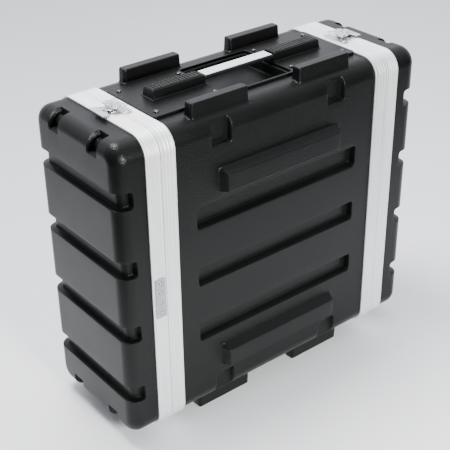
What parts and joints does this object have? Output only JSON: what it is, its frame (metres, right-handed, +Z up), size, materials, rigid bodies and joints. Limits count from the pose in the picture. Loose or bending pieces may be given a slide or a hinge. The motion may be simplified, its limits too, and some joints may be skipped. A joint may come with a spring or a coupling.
{
  "type": "equipment rack case",
  "caption": "Moulded rack case for audio gear with ribbed metal valances, lift-off front and rear lids, butterfly latches, strap handles and rack rails inside.",
  "frame": {"origin": "on the floor under the middle of the case, which stands on the guard blocks of its bottom side", "axes": "+X along the rack bay from the front lid to the rear lid, +Y across the case's thickness, +Z up to the carry handle"},
  "size_m": [0.63, 0.261, 0.58],
  "materials": {
    "black_abs": "satin black moulded ABS with a fine grain",
    "aluminium": "ribbed mill-finish extrusion",
    "zinc_plate": "bright zinc plate",
    "black_steel": "satin black powder coat",
    "strap_rubber": "matt black",
    "white_inlay": "smooth silvery white"
  },
  "bodies": {
    "case": {"body_shell": "black_abs", "body_valance_front": "aluminium", "body_valance_rear": "aluminium", "handle_plate_top": "black_abs", "handle_pad_top_front": "black_abs", "handle_pad_top_rear": "black_abs", "plate_screw_top_1": "zinc_plate", "plate_screw_top_2": "zinc_plate", "plate_screw_top_3": "zinc_plate", "plate_screw_top_4": "zinc_plate", "plate_screw_top_5": "zinc_plate", "plate_screw_top_6": "zinc_plate", "plate_screw_top_7": "zinc_plate", "plate_screw_top_8": "zinc_plate", "handle_plate_bottom": "black_abs", "handle_pad_bottom_front": "black_abs", "handle_pad_bottom_rear": "black_abs", "plate_screw_bottom_1": "zinc_plate", "plate_screw_bottom_2": "zinc_plate", "plate_screw_bottom_3": "zinc_plate", "plate_screw_bottom_4": "zinc_plate", "plate_screw_bottom_5": "zinc_plate", "plate_screw_bottom_6": "zinc_plate", "plate_screw_bottom_7": "zinc_plate", "plate_screw_bottom_8": "zinc_plate", "rack_rail_front_top": "black_steel", "latch_base_front_top": "zinc_plate", "rack_rail_front_bottom": "black_steel", "latch_base_front_bottom": "zinc_plate", "rack_rail_rear_top": "black_steel", "latch_base_rear_top": "zinc_plate", "rack_rail_rear_bottom": "black_steel", "latch_base_rear_bottom": "zinc_plate"},
    "lid_front": {"lid_shell_front": "black_abs", "lid_valance_front": "aluminium", "splice_plate_front": "aluminium", "latch_keeper_front_top": "zinc_plate", "latch_keeper_front_bottom": "zinc_plate"},
    "lid_rear": {"lid_shell_rear": "black_abs", "lid_valance_rear": "aluminium", "splice_plate_rear": "aluminium", "latch_keeper_rear_top": "zinc_plate", "latch_keeper_rear_bottom": "zinc_plate"},
    "handle_top": {"handle_strap_top": "strap_rubber", "handle_inlay_top": "white_inlay"},
    "handle_bottom": {"handle_strap_bottom": "strap_rubber", "handle_inlay_bottom": "white_inlay"},
    "spindle_front_top": {"latch_spindle_front_top": "zinc_plate"},
    "wing_front_top": {"latch_wing_front_top": "zinc_plate"},
    "claw_front_top": {"latch_claw_front_top": "zinc_plate"},
    "spindle_front_bottom": {"latch_spindle_front_bottom": "zinc_plate"},
    "wing_front_bottom": {"latch_wing_front_bottom": "zinc_plate"},
    "claw_front_bottom": {"latch_claw_front_bottom": "zinc_plate"},
    "spindle_rear_top": {"latch_spindle_rear_top": "zinc_plate"},
    "wing_rear_top": {"latch_wing_rear_top": "zinc_plate"},
    "claw_rear_top": {"latch_claw_rear_top": "zinc_plate"},
    "spindle_rear_bottom": {"latch_spindle_rear_bottom": "zinc_plate"},
    "wing_rear_bottom": {"latch_wing_rear_bottom": "zinc_plate"},
    "claw_rear_bottom": {"latch_claw_rear_bottom": "zinc_plate"}
  },
  "joints": [
    {"name": "lid_front_lift_off", "type": "slide", "parent": "case", "child": "lid_front", "axis": [-1, 0, 0], "range_m": [0, 0.25]},
    {"name": "lid_rear_lift_off", "type": "slide", "parent": "case", "child": "lid_rear", "axis": [1, 0, 0], "range_m": [0, 0.25]},
    {"name": "handle_top_pull", "type": "slide", "parent": "case", "child": "handle_top", "axis": [0, 0, 1], "range_m": [0, 0.015], "stiffness_N_per_m": 1500},
    {"name": "handle_bottom_pull", "type": "slide", "parent": "case", "child": "handle_bottom", "axis": [0, 0, -1], "range_m": [0, 0.005], "stiffness_N_per_m": 1500},
    {"name": "latch_front_top_turn", "type": "hinge", "parent": "case", "child": "spindle_front_top", "pos_m": [-0.247, 0, 0.5698], "axis": [0, 0, 1], "range_deg": [0, 180]},
    {"name": "latch_front_top_fold", "type": "hinge", "parent": "spindle_front_top", "child": "wing_front_top", "pos_m": [-0.247, 0, 0.5698], "axis": [0, -1, 0], "range_deg": [0, 90]},
    {"name": "latch_front_top_claw", "type": "slide", "parent": "case", "child": "claw_front_top", "axis": [-1, 0, 0], "range_m": [0, 0.005]},
    {"name": "latch_front_bottom_turn", "type": "hinge", "parent": "case", "child": "spindle_front_bottom", "pos_m": [-0.247, 0, 0.0102], "axis": [0, 0, -1], "range_deg": [0, 180]},
    {"name": "latch_front_bottom_fold", "type": "hinge", "parent": "spindle_front_bottom", "child": "wing_front_bottom", "pos_m": [-0.247, 0, 0.0102], "axis": [0, 1, 0], "range_deg": [0, 90]},
    {"name": "latch_front_bottom_claw", "type": "slide", "parent": "case", "child": "claw_front_bottom", "axis": [-1, 0, 0], "range_m": [0, 0.005]},
    {"name": "latch_rear_top_turn", "type": "hinge", "parent": "case", "child": "spindle_rear_top", "pos_m": [0.247, 0, 0.5698], "axis": [0, 0, 1], "range_deg": [0, 180]},
    {"name": "latch_rear_top_fold", "type": "hinge", "parent": "spindle_rear_top", "child": "wing_rear_top", "pos_m": [0.247, 0, 0.5698], "axis": [0, 1, 0], "range_deg": [0, 90]},
    {"name": "latch_rear_top_claw", "type": "slide", "parent": "case", "child": "claw_rear_top", "axis": [1, 0, 0], "range_m": [0, 0.005]},
    {"name": "latch_rear_bottom_turn", "type": "hinge", "parent": "case", "child": "spindle_rear_bottom", "pos_m": [0.247, 0, 0.0102], "axis": [0, 0, -1], "range_deg": [0, 180]},
    {"name": "latch_rear_bottom_fold", "type": "hinge", "parent": "spindle_rear_bottom", "child": "wing_rear_bottom", "pos_m": [0.247, 0, 0.0102], "axis": [0, -1, 0], "range_deg": [0, 90]},
    {"name": "latch_rear_bottom_claw", "type": "slide", "parent": "case", "child": "claw_rear_bottom", "axis": [1, 0, 0], "range_m": [0, 0.005]}
  ],
  "couplings": [
    {"joint": "latch_front_top_claw", "follows": "latch_front_top_turn", "m_per_rad": 0.0015915},
    {"joint": "latch_front_bottom_claw", "follows": "latch_front_bottom_turn", "m_per_rad": 0.0015915},
    {"joint": "latch_rear_top_claw", "follows": "latch_rear_top_turn", "m_per_rad": 0.0015915},
    {"joint": "latch_rear_bottom_claw", "follows": "latch_rear_bottom_turn", "m_per_rad": 0.0015915}
  ]
}
